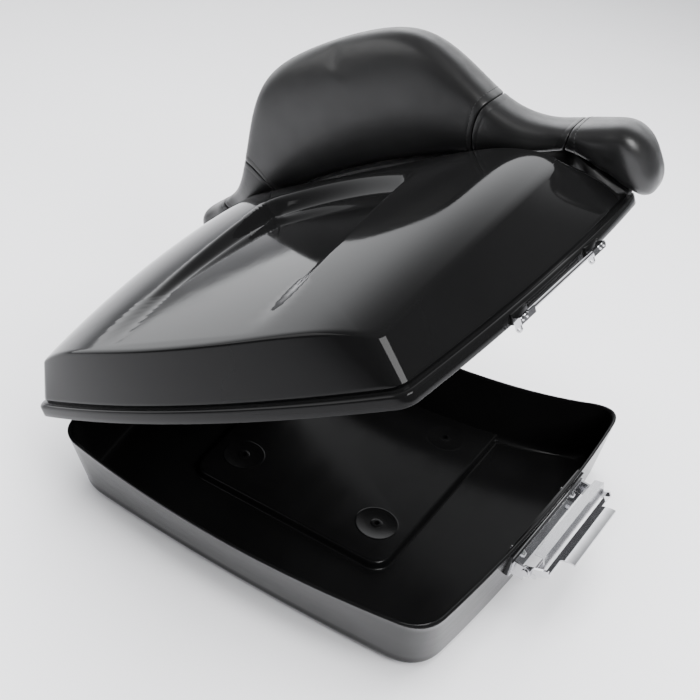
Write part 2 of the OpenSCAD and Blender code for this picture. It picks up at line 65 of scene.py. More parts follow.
# rear middle y, rear half width, rear corner y, side bulge,
# front half width, front corner y, front middle y, fourth order of the front
RIM = np.array([-306.7, 242.5, -284.1, 13.4, 304.6, 222.6, 147.6, 21.9])
TOP = np.array([-298.8, 230.0, -276.2, 11.6, 265.7, 127.0, 112.0, 0.0])
OUT = np.array([-1.0, 1.0, -1.0, 0.0, 1.0, 1.0, 1.0, 0.0])
CENTRE_Y = -100.0
LID_CORNERS = (14.0, 30.0)
FOOT_CORNERS = (38.0, 48.0)
CENTRE_END = 192.0
NECK_ENDS = (192.5, 272.0)
ARM_ENDS = (272.5, 350.0)
STITCH_X = (186.6, 277.9)
SEAM_END = 340.0
PAD_POWER = 0.62
SIM_FRAMES = 20
SIM_PRESSURE = 4.0
FLOOR_HALF = 9000.0
ROOM_LIGHT, WALL_LIGHT = 0.2, 3.2


# ------------------------------------------------------------ outlines
def smooth(t):
    """Smooth step from 0 at t = 0 to 1 at t = 1."""
    c = np.clip(t, 0.0, 1.0)
    return c * c * (3.0 - 2.0 * c)


def curve3(a, k, b, t):
    """Point at t on the quadratic curve from a to b, drawn toward k."""
    return (1 - t) ** 2 * a + 2 * t * (1 - t) * k + t * t * b


def half_outline(v, cr, cf, counts):
    """Points from the rear middle round the +X side to the front middle."""
    side = np.array([v[4] - v[1], v[5] - v[2]])
    length = np.hypot(*side)
    normal = np.array([side[1], -side[0]]) / length

    def rear(x):
        return np.array([x, v[0] + (v[2] - v[0]) * (x / v[1]) ** 2])

    def flank(t):
        return v[1:3] + t * side + 4 * t * (1 - t) * v[3] * normal

    def front(x):
        q = x / v[4]
        return np.array([x, v[6] + (v[5] - v[6] - v[7]) * q ** 2 + v[7] * q ** 4])

    t0, t1 = cr / length, 1 - cf / length
    n0, n1, n2, n3, n4 = counts
    pts = [rear((v[1] - cr) * i / n0) for i in range(n0)]
    pts += [curve3(rear(v[1] - cr), v[1:3], flank(t0), i / n1) for i in range(n1)]
    pts += [flank(t0 + (t1 - t0) * i / n2) for i in range(n2)]
    pts += [curve3(flank(t1), v[4:6], front(v[4] - cf), i / n3) for i in range(n3)]
    pts += [front((v[4] - cf) * (1 - i / n4)) for i in range(n4 + 1)]
    return np.array(pts)


def outline(v, cr, cf, counts):
    """Closed outline: the half outline and its mirror image."""
    h = half_outline(v, cr, cf, counts)
    return np.vstack([h, h[-2:0:-1] * [-1, 1]])


def level(v, z, cr, cf, counts):
    """The outline as a ring of points at height z."""
    flat = outline(v, cr, cf, counts)
    return np.column_stack([flat, np.full(len(flat), z)])


# ------------------------------------------------------------ lid surface
def lid_height(x, y):
    """Height of the lid's crown, closed, above the tub's underside."""
    s = np.clip((y + 276.2) / 403.2, -0.15, 1.2)
    e = np.clip(s, -0.1, 1.15)
    edge = 230.0 + 35.7 * e + 46.4 * e * (1 - e)
    riser = 62.0 - 22.0 * (x / 100.0) ** 2
    dish = 20.0 * np.clip((y + 285.0) / 330.0, 0.0, 1.0)
    dish = dish * smooth((114.0 - abs(x)) / 18.0) * smooth((riser + 34.0 - y) / 34.0)
    crown = (20.0 + 17.0 * s) * (1 - np.minimum(abs(x) / edge, 1.0) ** 6)
    return RIM_Z + 45.0 + 28.1 * s + 34.0 * s * (1 - s) + crown - dish


def crown_ring(v, k, drop, counts):
    """The outline scaled by k about CENTRE_Y and laid drop below the crown."""
    flat = outline(v, 14.0, 18.0, counts)
    x, y = flat[:, 0] * k, CENTRE_Y + (flat[:, 1] - CENTRE_Y) * k
    return np.column_stack([x, y, lid_height(x, y) - drop])


def lid_slope(t, out, up, counts):
    """Ring of the lid's sloped wall, t of the way from the rim to the crown."""
    low = level(RIM + OUT * out, RIM_Z + up, *LID_CORNERS, counts)
    high = crown_ring(TOP + OUT * (out - 1.5), 1.0, 2.5 - out, counts)
    return low * (1 - t) + high * t


# ------------------------------------------------------------ mesh helpers
def open_lid(points):
    """Turns closed-lid coordinates into the rest pose."""
    p = np.array(points, float)
    x, z = p[:, 0] - HINGE[0], p[:, 2] - HINGE[1]
    c, s = math.cos(LID_ANGLE), math.sin(LID_ANGLE)
    p[:, 0], p[:, 2] = HINGE[0] + x * c - z * s, HINGE[1] + x * s + z * c
    return p


def on_side(points):
    """Turns latch coordinates (out, along, up) into the row frame."""
    p = np.array(points, float)
    c, s = math.cos(math.radians(7.0)), math.sin(math.radians(7.0))
    return np.column_stack([287.2 + p[:, 0] * c + p[:, 1] * s,
                            -34.0 - p[:, 0] * s + p[:, 1] * c, p[:, 2]])


def make(name, points, faces, recalc=False):
    """A linked mesh object from millimetre points."""
    mesh = bpy.data.meshes.new(name)
    mesh.from_pydata([tuple(q) for q in np.asarray(points) * MM], [], faces)
    if recalc:
        bm = bmesh.new()
        bm.from_mesh(mesh)
        bmesh.ops.recalc_face_normals(bm, faces=bm.faces)
        bm.to_mesh(mesh)
        bm.free()
    obj = bpy.data.objects.new(name, mesh)
    bpy.context.scene.collection.objects.link(obj)
    return obj


def skin(rings, first=None, last=None):
    """Points and faces of a surface through equal rings, capped by end points."""
    n, m = len(rings[0]), len(rings)
    pts = np.vstack(rings)
    faces = [(k * n + i, k * n + (i + 1) % n, (k + 1) * n + (i + 1) % n, (k + 1) * n + i)
             for k in range(m - 1) for i in range(n)]
    if first is not None:
        pts = np.vstack([pts, first])
        faces += [(len(pts) - 1, (i + 1) % n, i) for i in range(n)]
    if last is not None:
        pts = np.vstack([pts, last])
        base = (m - 1) * n
        faces += [(len(pts) - 1, base + i, base + (i + 1) % n) for i in range(n)]
    return pts, faces


def shade(obj, degrees=32.0):
    """Smooth faces, with edges sharper than the angle kept sharp."""
    bm = bmesh.new()
    bm.from_mesh(obj.data)
    limit = math.radians(degrees)
    for f in bm.faces:
        f.smooth = True
    for e in bm.edges:
        e.smooth = not (len(e.link_faces) == 2 and e.calc_face_angle(0.0) > limit)
    bm.to_mesh(obj.data)
    bm.free()
    return obj


def bake(obj):
    """Replaces the object's mesh by its evaluated mesh and drops its modifiers."""
    graph = bpy.context.evaluated_depsgraph_get()
    mesh = bpy.data.meshes.new_from_object(obj.evaluated_get(graph))
    obj.modifiers.clear()
    obj.data = mesh
    return obj


def combine(obj, others, operation):
    """Applies exact booleans with closed helper solids, then removes them."""
    for other in others:
        mod = obj.modifiers.new("cut", "BOOLEAN")
        mod.operation, mod.object, mod.solver = operation, other, "MANIFOLD"
        bake(obj)
        bpy.data.objects.remove(other)
    return obj


def block(x0, x1, y0, y1, z0, z1, radius=0.8):
    """Points and faces of a box with bevelled edges."""
    bm = bmesh.new()
    bmesh.ops.create_cube(bm, size=1.0)
    for v in bm.verts:
        v.co = Vector(((x0 + x1) / 2 + v.co.x * (x1 - x0),
                       (y0 + y1) / 2 + v.co.y * (y1 - y0),
                       (z0 + z1) / 2 + v.co.z * (z1 - z0)))
    bmesh.ops.bevel(bm, geom=list(bm.edges), offset=radius, segments=2,
                    affect="EDGES", profile=0.5)
    pts = [tuple(v.co) for v in bm.verts]
    faces = [tuple(v.index for v in f.verts) for f in bm.faces]
    bm.free()
    return np.array(pts), faces


def lathe(profile, n=40):
    """Points and faces of a closed turned solid about Z; profile is (r, z) pairs."""
    a = np.arange(n) * 2 * math.pi / n
    rings = [np.column_stack([r * np.cos(a), r * np.sin(a), np.full(n, z)])
             for r, z in profile]
    return skin(rings, [0, 0, profile[0][1]], [0, 0, profile[-1][1]])


# ------------------------------------------------------------ materials
class Mat:
    """Small builder round one Principled material."""

    def __init__(self, name, **sockets):
        self.mat = bpy.data.materials.new(name)
        self.mat.use_nodes = True
        self.tree = self.mat.node_tree
        self.bsdf = self.tree.nodes["Principled BSDF"]
        for key, value in sockets.items():
            self.bsdf.inputs[key.replace("_", " ")].default_value = value
        self.coord = self.add("ShaderNodeTexCoord").outputs["Object"]

    def add(self, kind, props=None, **inputs):
        node = self.tree.nodes.new(kind)
        for key, value in (props or {}).items():
            setattr(node, key, value)
        for key, value in inputs.items():
            socket = node.inputs[key.replace("_", " ")]
            if isinstance(value, bpy.types.NodeSocket):
                self.tree.links.new(value, socket)
            else:
                socket.default_value = value
        return node

    def stretched(self, scale):
        node = self.add("ShaderNodeMapping", Vector=self.coord, Scale=scale)
        return node.outputs["Vector"]

    def noise(self, scale, detail=4.0, rough=0.55, vector=None, distortion=0.0):
        node = self.add("ShaderNodeTexNoise", Vector=vector or self.coord, Scale=scale,
                        Detail=detail, Roughness=rough, Distortion=distortion)
        return node.outputs["Fac"]

    def cells(self, scale, vector=None):
        node = self.add("ShaderNodeTexVoronoi", {"feature": "DISTANCE_TO_EDGE"},
                        Vector=vector or self.coord, Scale=scale)
        return node.outputs["Distance"]

    def ranged(self, value, lo, hi, start=0.3, end=0.7):
        node = self.add("ShaderNodeMapRange", Value=value, From_Min=start,
                        From_Max=end, To_Min=lo, To_Max=hi)
        return node.outputs["Result"]

    def ramp(self, value, stops):
        node = self.add("ShaderNodeValToRGB", Fac=value)
        ramp = node.color_ramp
        for element, (position, colour) in zip(ramp.elements, stops):
            element.position, element.color = position, colour
        return node.outputs["Color"]

    def set(self, socket, output):
        self.tree.links.new(output, self.bsdf.inputs[socket])
        return self

    def bump(self, *layers):
        """Layers are (height output, strength, distance in metres), coarse first."""
        normal = None
        for height, strength, distance in layers:
            node = self.add("ShaderNodeBump", Height=height, Strength=strength,
                            Distance=distance)
            if normal:
                self.tree.links.new(normal, node.inputs["Normal"])
            normal = node.outputs["Normal"]
        return self.set("Normal", normal)


def grey(value):
    return (value, value, value * 1.03, 1.0)


def lid_paint():
    m = Mat("lid_paint", Roughness=0.06, IOR=1.22)
    tone = m.noise(3.0, 3.0)
    m.set("Base Color", m.ramp(tone, [(0.3, grey(0.0035)), (0.7, grey(0.0055))]))
    m.set("Roughness", m.ranged(m.noise(18.0, 5.0), 0.045, 0.085))
    m.bump((m.noise(260.0, 2.0), 0.05, 0.0002), (m.noise(38.0, 2.0), 0.05, 0.0006))
    return m.mat


def tub_plastic():
    m = Mat("tub_plastic", IOR=1.26)
    tone = m.noise(6.0, 5.0)
    m.set("Base Color", m.ramp(tone, [(0.3, grey(0.003)), (0.7, grey(0.005))]))
    scuffs = m.noise(30.0, 8.0, 0.7, m.stretched((1.0, 0.25, 3.0)))
    m.set("Roughness", m.ranged(scuffs, 0.17, 0.26))
    m.bump((m.noise(420.0, 3.0), 0.09, 0.0003), (m.noise(22.0, 2.0), 0.08, 0.001))
    return m.mat


def vinyl():
    m = Mat("vinyl", IOR=1.42, Coat_Weight=0.15, Coat_Roughness=0.22)
    tone = m.noise(9.0, 6.0, 0.6)
    m.set("Base Color", m.ramp(tone, [(0.3, grey(0.005)), (0.7, grey(0.009))]))
    pebble = m.cells(620.0, m.stretched((1.0, 1.0, 1.25)))
    grain = m.noise(900.0, 3.0)
    m.set("Roughness", m.ranged(m.noise(45.0, 6.0, 0.65), 0.33, 0.46))
    creases = m.noise(26.0, 6.0, 0.62, distortion=0.6)
    m.bump((creases, 0.2, 0.0016), (pebble, 0.35, 0.00022), (grain, 0.15, 0.0001))
    return m.mat


def chrome(name="chrome", rough=(0.05, 0.13), tone=(0.52, 0.62)):
    m = Mat(name, Metallic=1.0)
    m.set("Base Color", m.ramp(m.noise(40.0, 3.0),
                               [(0.3, grey(tone[0])), (0.7, grey(tone[1]))]))
    m.set("Roughness", m.ranged(m.noise(70.0, 7.0, 0.7), *rough))
    m.bump((m.noise(140.0, 2.0), 0.05, 0.0002))
    return m.mat


def brushed():
    m = Mat("brushed_chrome", Metallic=1.0)
    lines = m.noise(90.0, 5.0, 0.7, m.stretched((22.0, 1.0, 22.0)))
    m.set("Base Color", m.ramp(lines, [(0.3, grey(0.4)), (0.7, grey(0.56))]))
    m.set("Roughness", m.ranged(lines, 0.14, 0.28))
    m.bump((lines, 0.12, 0.0001))
    return m.mat


def rubber():
    m = Mat("seal_rubber", IOR=1.5)
    m.set("Base Color", m.ramp(m.noise(60.0, 4.0),
                               [(0.3, grey(0.012)), (0.7, grey(0.02))]))
    m.set("Roughness", m.ranged(m.noise(200.0, 4.0), 0.6, 0.8))
    m.bump((m.noise(600.0, 3.0), 0.3, 0.0002))
    return m.mat


def board():
    m = Mat("board", IOR=1.45)
    m.set("Base Color", m.ramp(m.noise(40.0, 5.0),
                               [(0.3, grey(0.006)), (0.7, grey(0.012))]))
    m.set("Roughness", m.ranged(m.noise(60.0, 5.0), 0.4, 0.6))
    m.bump((m.noise(80.0, 5.0, 0.7), 0.4, 0.001), (m.cells(700.0), 0.3, 0.0002))
    return m.mat


def black_steel():
    m = Mat("black_steel", IOR=1.5)
    m.set("Base Color", m.ramp(m.noise(80.0, 5.0),
                               [(0.3, grey(0.012)), (0.7, grey(0.022))]))
    m.set("Roughness", m.ranged(m.noise(150.0, 5.0), 0.3, 0.5))
    m.bump((m.noise(900.0, 2.0), 0.2, 0.0001))
    return m.mat


def thread():
    m = Mat("thread", IOR=1.5)
    twist = m.noise(1400.0, 3.0)
    m.set("Base Color", m.ramp(twist, [(0.3, grey(0.012)), (0.7, grey(0.04))]))
    m.set("Roughness", m.ranged(twist, 0.5, 0.75))
    m.bump((twist, 0.5, 0.0002))
    return m.mat


def floor_paper():
    m = Mat("floor_paper", IOR=1.3)
    m.set("Base Color", m.ramp(m.noise(2.0, 3.0),
                               [(0.3, grey(0.86)), (0.7, grey(0.88))]))
    m.set("Roughness", m.ranged(m.noise(6.0, 3.0), 0.85, 0.95))
    return m.mat


MATS = {"lid_paint": lid_paint(), "tub_plastic": tub_plastic(), "vinyl": vinyl(),
        "chrome": chrome(), "brushed": brushed(), "steel": chrome(
            "steel", (0.22, 0.36), (0.5, 0.62)), "seal_rubber": rubber(),
        "board": board(), "black_steel": black_steel(), "thread": thread(),
        "floor": floor_paper()}


def finish_piece(obj, body, slot, material, *replaced):
    obj.data.materials.clear()
    obj.data.materials.append(MATS[material])
    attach(obj, body)
    if replaced:
        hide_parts(*replaced)
    return obj


# ------------------------------------------------------------ lid shell
def lid_rings():
    n = (16, 12, 26, 12, 22)

    def ring(out, z):
        return level(RIM + OUT * out, z, *LID_CORNERS, n)

    rings = [crown_ring(TOP, k, WALL, n) for k in np.linspace(0.05, 0.95, 40)]
    rings += [lid_slope(t, -2.5, 5.0, n) for t in (0.92, 0.8, 0.6, 0.4, 0.2, 0.0)]
    rings += [ring(out, z) for out, z in (
        (-2.5, 103.8), (4.0, 101.8), (4.0, 95.0), (4.0, 88.2), (4.4, 87.2),
        (5.2, 86.8), (6.8, 86.8), (7.6, 87.2), (8.0, 88.0), (8.0, 93.0), (8.0, 97.6),
        (7.8, 98.8), (7.3, 99.9), (6.5, 100.7), (5.4, 101.1), (4.0, 101.3),
        (2.4, 101.5), (1.2, 101.7), (0.8, 102.3), (1.0, 103.2), (1.6, 104.4))]
    rings += [lid_slope(t, 1.5 + 0.5 * (1 - t), 4.5, n)
              for t in (0.0, 0.05, 0.15, 0.3, 0.45, 0.6, 0.75, 0.87, 0.94)]
    start, edge = lid_slope(0.955, 1.52, 4.5, n), crown_ring(TOP, 1.0, 0.0, n)
    end = crown_ring(TOP, 0.976, 0.0, n)
    rings += [curve3(start, edge, end, t) for t in np.linspace(0.0, 1.0, 7)]
    rings += [crown_ring(TOP, k, 0.0, n) for k in np.linspace(0.966, 0.02, 96)]
    return rings


def lid_shell():
    h = lid_height(0.0, CENTRE_Y)
    pts, faces = skin(lid_rings(), [0, CENTRE_Y, h - WALL], [0, CENTRE_Y, h])
    obj = shade(make("lid_shell", open_lid(pts), faces), 40.0)
    finish_piece(obj, "lid_body", "lid_paint", "lid_paint", "lid")
    pads = [on_side_block(2, 8.6, s * 84 - 15, s * 84 + 15, 86.9, 98.4) for s in (-1, 1)]
    pads += [block(HINGE[0] + 6.4, HINGE[0] + 12, y - 28, y + 28, 86.9, 98.4)
             for y in HINGE_Y]
    pads += [block(x - 14, x + 14, bracket_back(x) - 12, bracket_back(x),
                   BRACKET_Z - 11, BRACKET_Z + 11, 1.5) for x in BRACKET_X]
    pts, faces = join(pads)
    bosses = shade(make("lid_pads", open_lid(pts), faces))
    finish_piece(bosses, "lid_body", "lid_paint", "lid_paint")


def bracket_back(x):
    return 131.4 + 9.8 * (x / 150.0) ** 2


def on_side_block(*limits):
    pts, faces = block(*limits)
    return on_side(pts), faces


def join(parts):
    """One point list and face list from several."""
    pts, faces, base = [], [], 0
    for p, f in parts:
        pts.append(p)
        faces += [tuple(i + base for i in face) for face in f]
        base += len(p)
    return np.vstack(pts), faces


# ------------------------------------------------------------ tub shell
TUB_N = (16, 10, 26, 10, 22)


def tub_draft(t, extra):
    """The outline's sizes at draft t, 0 at the rim and 1 at the foot, moved in by extra."""
    v = RIM + np.array([35.4, -2.0, 22.3, 0, -5.9, -3.0, -3.0, 0]) * t
    return v - OUT * extra


def tub_wall(z, extra):
    """Ring of the tub's wall at height z, moved in by extra."""
    t = (RIM_Z - z) / (RIM_Z - FOOT_R)
    return level(tub_draft(t, extra), z, 30.0 + 8.0 * t, 48.0, TUB_N)


def tub_foot(angle, extra, low):
    """Ring of the tub's rounded foot at an angle in degrees."""
    a = math.radians(angle)
    inset = extra + (FOOT_R - extra) * (1 - math.cos(a))
    return level(tub_draft(1.0, inset), FOOT_R - (FOOT_R - low) * math.sin(a),
                 *FOOT_CORNERS, TUB_N)


def tub_rings():
    foot = [90, 78, 66, 54, 42, 30, 18, 8]
    walls = list(np.linspace(FOOT_R, RIM_Z - 2.2, 10))
    rings = [tub_foot(a, 0.0, 0.0) for a in foot]
    rings += [tub_wall(z, 0.0) for z in walls]
    rings += [tub_wall(z, e) for e, z in ((-0.2, RIM_Z - 1.2), (0.1, RIM_Z - 0.4),
                                          (0.8, RIM_Z), (2.4, RIM_Z), (2.8, RIM_Z - 0.3),
                                          (3.0, RIM_Z - 1.2), (3.5, RIM_Z - 2.6))]
    rings += [tub_wall(z, WALL) for z in reversed(walls)]
    rings += [tub_foot(a, WALL, WALL) for a in reversed(foot)]
    return rings


def platform_ring(inset, z, n_side=10, n_corner=8):
    """Raised floor outline, moved in by inset, with rounded rear corners."""
    r = 22.0 - inset
    x0, y0, x1, y1 = 141.5 - inset, -163.0 + inset, 162.0 - inset, 166.0 - inset
    right = [(x0 - r + r * math.sin(a), y0 + r - r * math.cos(a))
             for a in np.linspace(0, math.radians(88), n_corner)]
    right += [(x0 + (x1 - x0) * t, y0 + r + (y1 - y0 - r) * t)
              for t in np.linspace(0.08, 1.0, n_side)]
    pts = right + [(-x, y) for x, y in reversed(right)]
    return np.column_stack([np.array(pts), np.full(len(pts), z)])


def platform():
    """The raised floor, cut to the inside of the tub."""
    profile = [(-3.4, 2.0), (-3.4, 4.1), (-1.9, 4.5), (-0.8, 5.4), (-0.2, 6.8),
               (0.4, 10.2), (0.9, 12.2), (1.9, 13.7), (3.3, 14.5), (5.0, RAISED_Z)]
    rings = [platform_ring(i, z) for i, z in profile]
    obj = make("platform", *skin(rings, [0, 0, 2.0], [0, 0, RAISED_Z]), recalc=True)
    limit = [level(tub_draft(1.0, 3.0), 1.0, *FOOT_CORNERS, TUB_N),
             level(tub_draft(0.8, 3.0), 40.0, 36.0, 48.0, TUB_N)]
    clip = make("clip", *skin(limit, [0, -80, 1.0], [0, -80, 40.0]))
    return combine(obj, [clip], "INTERSECT")


def turned(profile, centre, toward="Z", n=40):
    """A turned solid placed at a point, with its axis along Z or X."""
    pts, faces = lathe(profile, n)
    if toward == "X":
        pts = pts[:, [2, 0, 1]]
    elif toward == "-X":
        pts = pts[:, [2, 0, 1]] * [-1, -1, 1]
    return pts + centre, faces


def inner_x(y):
    """Half width just inside the tub's side wall at y."""
    t = (y + 284.1) / 506.7
    return 242.5 + 62.1 * t + 53.6 * t * (1 - t) - 6.2


def tub_shell():
    """The tub with its floor, rings, pads and bosses. The hinge pads stop short of its wall."""
    tub = make("tub_shell", *skin(tub_rings(), [0, -80, 0.0], [0, -80, FLOOR_Z]))
    parts = [platform()]
    ring = [(28.0, RAISED_Z - 0.5), (28.0, RAISED_Z + 0.1), (27.2, RAISED_Z + 0.45),
            (25.4, RAISED_Z + 0.45), (24.6, RAISED_Z + 0.15), (8.0, RAISED_Z + 0.15),
            (7.2, RAISED_Z + 0.7), (5.6, RAISED_Z + 0.9)]
    corners = [(x, y) for x in (-1, 1) for y in (-1, 1)]
    for sx, sy in corners:
        place = (sx * RACK_HALF[0], sy * RACK_HALF[1], 0.0)
        parts.append(make("ring", *turned(ring, place, n=56)))
    parts.append(make("latch_pad", *on_side_block(-9, 0, -96, 96, 64.4, 94.4)))
    for y in HINGE_Y:
        parts.append(make("hinge_pad", *block(HINGE[0] + 6.4, HINGE[0] + 16, y - 28,
                                              y + 28, 41.4, 76.4, 1.5)))
    boss = [(8.2, -4.0), (7.6, 0.0), (6.6, 1.1), (5.6, 1.5)]
    for y in HINGE_Y:
        for s in (-16, 16):
            place = (-inner_x(y + s), y + s, HINGE_SCREW_Z)
            parts.append(make("boss", *turned(boss, place, "X")))
    for s in (-1, 1):
        pts, faces = turned([(8.0, -1.0), (7.4, 2.9), (6.6, 3.6)], (0, 0, 0), "-X")
        pts = on_side(pts + [-3.9, s * LATCH_U, LATCH_W])
        parts.append(make("boss", pts, faces))
    combine(tub, parts, "UNION")
    holes = []
    for sx, sy in corners:
        hole = [(RACK_R, -5.0), (RACK_R, 40.0)]
        holes.append(make("hole", *turned(hole, (sx * RACK_HALF[0],
                                                 sy * RACK_HALF[1], 0.0))))
    combine(tub, holes, "DIFFERENCE")
    shade(tub, 28.0)
    finish_piece(tub, "tub_body", "tub_plastic", "tub_plastic", "tub")


# ------------------------------------------------------------ back pad
def pad_bottom(a):
    sag = 20.5 * (min(a, 250.0) / 192.0) ** 2
    return RIM_Z + 109.1 - sag - 85.0 * smooth((a - 250.0) / 90.0)


def pad_crest(a):
    shoulder = RIM_Z + 106.6 - 0.17 * (a - 230.0)
    k = 1.0 / (1.0 + math.exp((a - 173.5) / 25.0))
    return shoulder + (373.0 - 6.0 * (a / 100.0) ** 2 - shoulder) * k


def pad_y(a):
    return 160.0 + 45.0 * smooth((a - 180.0) / 140.0)


def pad_half(a):
    return 37.0 - 4.0 * smooth((a - 120.0) / 90.0) + 12.0 * smooth((a - 240.0) / 50.0)


def pad_skew(a):
    return 0.3 * smooth((a - 215.0) / 60.0)


def pad_lean(a):
    return 40.0 * smooth((a - 60.0) / 132.0) * (1 - smooth((a - 245.0) / 50.0))


def signed_power(v, e):
    return np.sign(v) * np.abs(v) ** e


def pad_ring(x, n, inset):
    """Ring round the back pad at x, leaning outward at the top, moved in by inset."""
    w = np.arange(n) * 2 * math.pi / n
    w = w - 0.22 * np.sin(4 * w)
    up = signed_power(np.sin(w), PAD_POWER)
    out = signed_power(np.cos(w), PAD_POWER)
    ring = []
    for u, v in zip(up, out):
        a = abs(x) - pad_lean(abs(x)) * (1 - u) / 2
        k = math.sqrt(max(1 - (max(a - 310.0, 0.0) / 40.5) ** 3, 0.012))
        height = pad_crest(a) - pad_bottom(a)
        dz = ((height - 0.8) / 2 * k - inset) * u
        dy = (pad_half(a) * k - inset) * v
        ring.append((math.copysign(a, x), pad_y(a) + dy - pad_skew(a) * dz,
                     pad_bottom(a) + height / 2 + dz))
    return np.array(ring)


def pad_points(x0, x1, steps, seam_dip):
    """Rings of one cushion: drawn in at a sewn end, with a dip at its stitch line."""
    gap = 0.25
    xs = list(np.linspace(x0 + gap, x1 - gap, steps))
    marks = []
    for end, sign in ((x0, 1), (x1, -1)):
        if abs(end) < SEAM_END:
            marks += [(end + sign * d, inset) for d, inset in
                      ((gap - 0.1, 2.6), (gap, 0.8), (gap + 0.3, 0.45), (gap + 0.9, 0.15),
                       (gap + 2.2, 0.0), (4.6, 0.0), (5.4, seam_dip), (6.2, 0.0))]
    keep = [(x, 0.0) for x in xs
            if all(abs(x - m) > 1.8 for m, _ in marks) and x0 + 4 < x < x1 - 4
            or abs(x) > SEAM_END]
    return sorted(keep + marks)


def sim_swell(obj, pinned, cap):
    """Swells the cover with cloth, holding the pinned points, at most cap metres."""
    group = obj.vertex_groups.new(name="pin")
    for weight in sorted(set(np.round(pinned, 2))):
        ids = np.nonzero(np.round(pinned, 2) == weight)[0].tolist()
        group.add(ids, float(weight), "REPLACE")
    before = coordinates(obj.data)
    mod = obj.modifiers.new("cloth", "CLOTH")
    cloth = mod.settings
    cloth.quality = 6
    cloth.mass = 0.25
    cloth.tension_stiffness = 25.0
    cloth.compression_stiffness = 25.0
    cloth.shear_stiffness = 12.0
    cloth.bending_stiffness = 9.0
    cloth.use_pressure = True
    cloth.uniform_pressure_force = SIM_PRESSURE
    cloth.vertex_group_mass = "pin"
    cloth.effector_weights.gravity = 0.0
    mod.collision_settings.use_self_collision = False
    scene = bpy.context.scene
    mod.point_cache.frame_start, mod.point_cache.frame_end = 1, SIM_FRAMES
    for f in range(1, SIM_FRAMES + 1):
        scene.frame_set(f)
    bake(obj)
    scene.frame_set(1)
    moved = coordinates(obj.data) - before
    size = np.linalg.norm(moved, axis=1, keepdims=True)
    moved *= np.minimum(1.0, cap / np.maximum(size, 1e-9))
    set_coordinates(obj.data, before + moved)
    obj.vertex_groups.clear()


def coordinates(mesh):
    co = np.zeros(len(mesh.vertices) * 3)
    mesh.vertices.foreach_get("co", co)
    return co.reshape(-1, 3)


def set_coordinates(mesh, co):
    mesh.vertices.foreach_set("co", co.ravel())
    mesh.update()


def gathered(pts, low):
    """Pulls small folds into the cover just above its stapled lower edge."""
    a = np.abs(pts[:, 0])
    fold = 0.6 * np.sin(a / 2.7 + 1.0) + 0.4 * np.sin(a / 4.4) + 0.3 * np.sin(a / 1.9)
    reach = smooth((a - 266.0) / 20.0) * (1 - smooth((a - 322.0) / 20.0))
    fold = fold * (0.12 + 1.1 * reach) * smooth((22.0 - low) / 20.0)
    out = pts.copy()
    middle = np.array([pad_y(x) for x in a])
    out[:, 1] += np.sign(pts[:, 1] - middle) * fold
    return out


def cushion(name, x0, x1, steps, cap_mm):
    """One cushion cover, swelled by cloth, then subdivided."""
    n = 88
    profile = pad_points(x0, x1, steps, 0.35)
    rings = [pad_ring(x, n, inset) for x, inset in profile]
    pts, faces = skin(rings, rings[0].mean(axis=0), rings[-1].mean(axis=0))
    xs = np.append(np.repeat([x for x, _ in profile], n), [x0, x1])
    seam = np.full(len(pts), 1e3)
    for end in (x0, x1):
        if abs(end) < SEAM_END:
            seam = np.minimum(seam, np.abs(xs - end))
    low = pts[:, 2] - np.array([pad_bottom(abs(x)) for x in pts[:, 0]])
    pts = open_lid(gathered(pts, low))
    obj = make(name, pts, faces, recalc=True)
    pinned = np.where(seam < 9.5, 1.0, np.clip(1.1 - seam / 30.0, 0.0, 1.0))
    pinned = np.where(low < 7.0, 1.0, np.maximum(pinned, np.clip(1.0 - low / 25.0, 0, 1)))
    sim_swell(obj, pinned, cap_mm * MM)
    mod = obj.modifiers.new("round", "SUBSURF")
    mod.levels = mod.render_levels = 1
    bake(obj)
    shade(obj, 75.0)
    finish_piece(obj, "lid_body", "vinyl", "vinyl", name.replace("cover", "pad"))
    return obj


def stitch_line(name, cover, x_line):
    """A row of short thread stitches laid on the cover at one x."""
    ring = open_lid(pad_ring(x_line, 600, 0.0)) * MM
    middle = ring.mean(axis=0)
    tree = BVHTree.FromObject(cover, bpy.context.evaluated_depsgraph_get())
    path = []
    for p in ring:
        out = Vector(p - middle).normalized()
        hit, normal, _, _ = tree.ray_cast(Vector(p) + out * 0.03, -out, 0.06)
        if hit:
            path.append((hit, normal))
    parts, walked, last = [], 0.0, None
    stitch, pause, radius = 0.0034, 0.0016, 0.0004
    run = []
    for hit, normal in path:
        if last is not None:
            walked += (hit - last).length
        last = hit
        phase = walked % (stitch + pause)
        if phase < stitch:
            run.append((hit, normal, phase / stitch))
        else:
            if len(run) > 2:
                parts.append(stitch_mesh(run, radius))
            run = []
    pts, faces = join(parts)
    obj = shade(make(name, pts / MM, faces), 60.0)
    finish_piece(obj, "lid_body", "vinyl", "thread")


def stitch_mesh(run, radius):
    """A thin rounded thread through the points, dipping at both ends."""
    rings, n = [], 6
    for i, (p, normal, t) in enumerate(run):
        ahead = run[min(i + 1, len(run) - 1)][0] - run[max(i - 1, 0)][0]
        ahead.normalize()
        side = ahead.cross(normal).normalized()
        lift = radius * (1.5 * math.sin(math.pi * min(max(t, 0.05), 0.95)) - 0.5)
        r = radius * (0.45 + 0.55 * math.sin(math.pi * min(max(t, 0.1), 0.9)))
        rings.append([p + normal * (lift + r * math.sin(a)) + side * (r * math.cos(a))
                      for a in [2 * math.pi * k / n for k in range(n)]])
    rings = [np.array([tuple(q) for q in ring]) for ring in rings]
    return skin(rings, rings[0].mean(axis=0), rings[-1].mean(axis=0))


